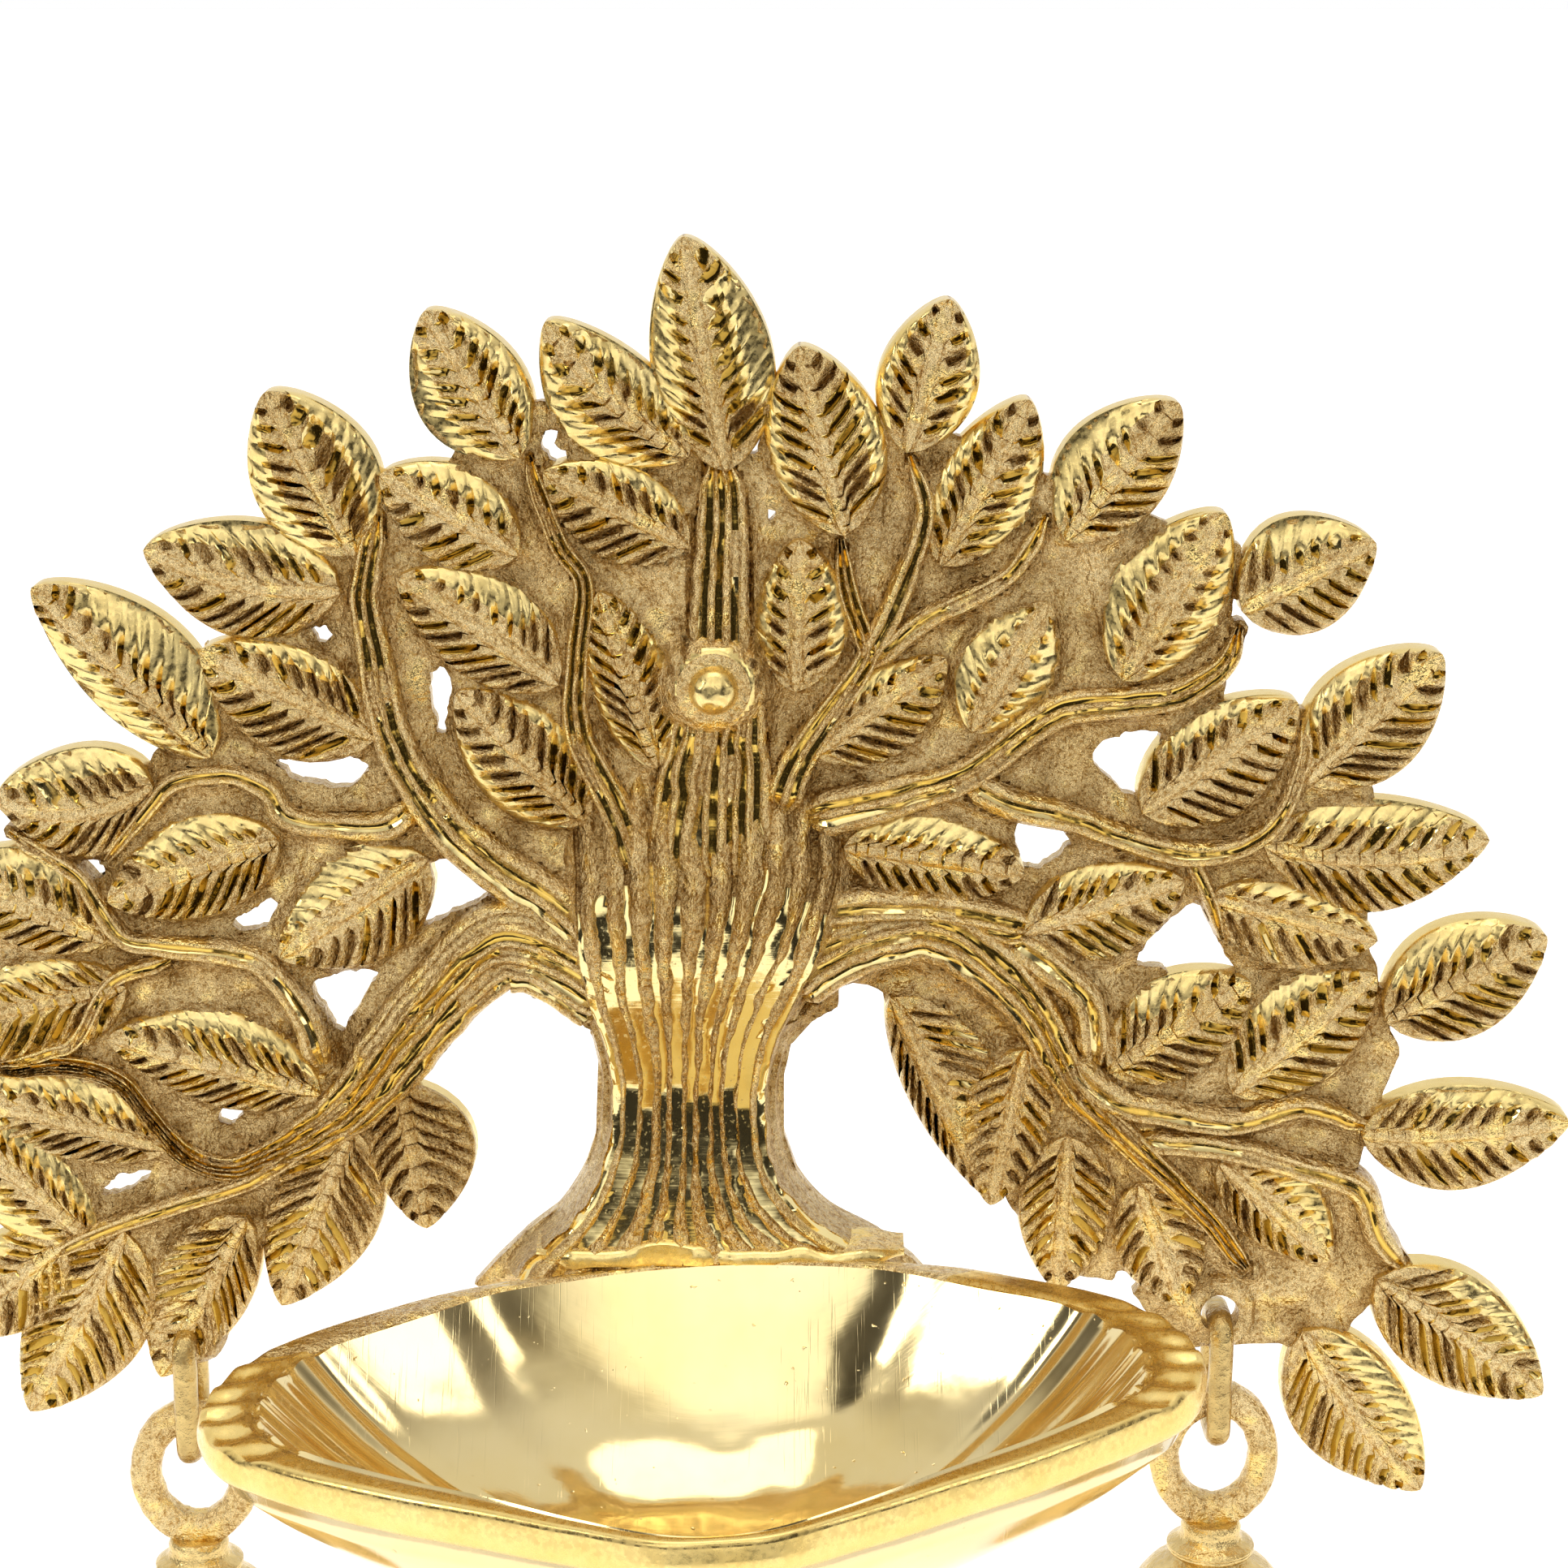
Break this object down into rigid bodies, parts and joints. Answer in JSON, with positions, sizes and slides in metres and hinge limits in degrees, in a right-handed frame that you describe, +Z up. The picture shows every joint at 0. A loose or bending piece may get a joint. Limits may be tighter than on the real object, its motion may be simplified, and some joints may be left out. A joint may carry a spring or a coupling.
{
  "type": "wall lamp with bells",
  "caption": "Cast brass wall lamp: an openwork tree-of-life plate, a projecting polished oil bowl with rippled corners, and small bells swinging on wire links.",
  "frame": {"origin": "centre of the nail hole in the hanger strap, half way through the strap", "axes": "+X to the lamp's right as seen from in front, +Y back into the wall along the nail hole, +Z up; the bowl juts out towards -Y"},
  "size_m": [0.2263, 0.1079, 0.2204],
  "materials": {
    "cast_brass": "sand-cast, granular, with burnished ridges",
    "polished_brass": "hand-polished to a mirror with fine scratches",
    "sheet_brass": "plain cut sheet, dull",
    "dull_brass": "hammered or filed, slightly tarnished",
    "steel": "plain zinc-plated"
  },
  "bodies": {
    "lamp": {"tree_plate": "cast_brass", "oil_bowl": "polished_brass", "bowl_screws": "steel", "bowl_washers": "steel", "hanger_strap": "sheet_brass", "hanger_rivet": "polished_brass", "rivet_washer": "sheet_brass"},
    "left_link_body": {"left_link": "dull_brass"},
    "left_bell_body": {"left_bell": "dull_brass", "left_clapper_pin": "steel"},
    "left_clapper_body": {"left_clapper_rod": "steel", "left_clapper_ball": "dull_brass"},
    "right_link_body": {"right_link": "dull_brass"},
    "right_bell_body": {"right_bell": "dull_brass", "right_clapper_pin": "steel"},
    "right_clapper_body": {"right_clapper_rod": "steel", "right_clapper_ball": "dull_brass"}
  },
  "joints": [
    {"name": "left_link_swing", "type": "hinge", "parent": "lamp", "child": "left_link_body", "pos_m": [-0.0743, -0.0058, -0.1121], "axis": [0, 1, 0], "range_deg": [-12, 20]},
    {"name": "left_bell_swing", "type": "hinge", "parent": "left_link_body", "child": "left_bell_body", "pos_m": [-0.0743, -0.0058, -0.1293], "axis": [0, 1, 0], "range_deg": [-15, 25]},
    {"name": "left_clapper_swing", "type": "hinge", "parent": "left_bell_body", "child": "left_clapper_body", "pos_m": [-0.0743, -0.0058, -0.1555], "axis": [0, 1, 0], "range_deg": [-20, 20]},
    {"name": "right_link_swing", "type": "hinge", "parent": "lamp", "child": "right_link_body", "pos_m": [0.0702, -0.0058, -0.1094], "axis": [0, 1, 0], "range_deg": [-3, 12]},
    {"name": "right_bell_swing", "type": "hinge", "parent": "right_link_body", "child": "right_bell_body", "pos_m": [0.0702, -0.0058, -0.1266], "axis": [0, 1, 0], "range_deg": [-10, 15]},
    {"name": "right_clapper_swing", "type": "hinge", "parent": "right_bell_body", "child": "right_clapper_body", "pos_m": [0.0702, -0.0058, -0.1528], "axis": [0, 1, 0], "range_deg": [-20, 20]}
  ]
}
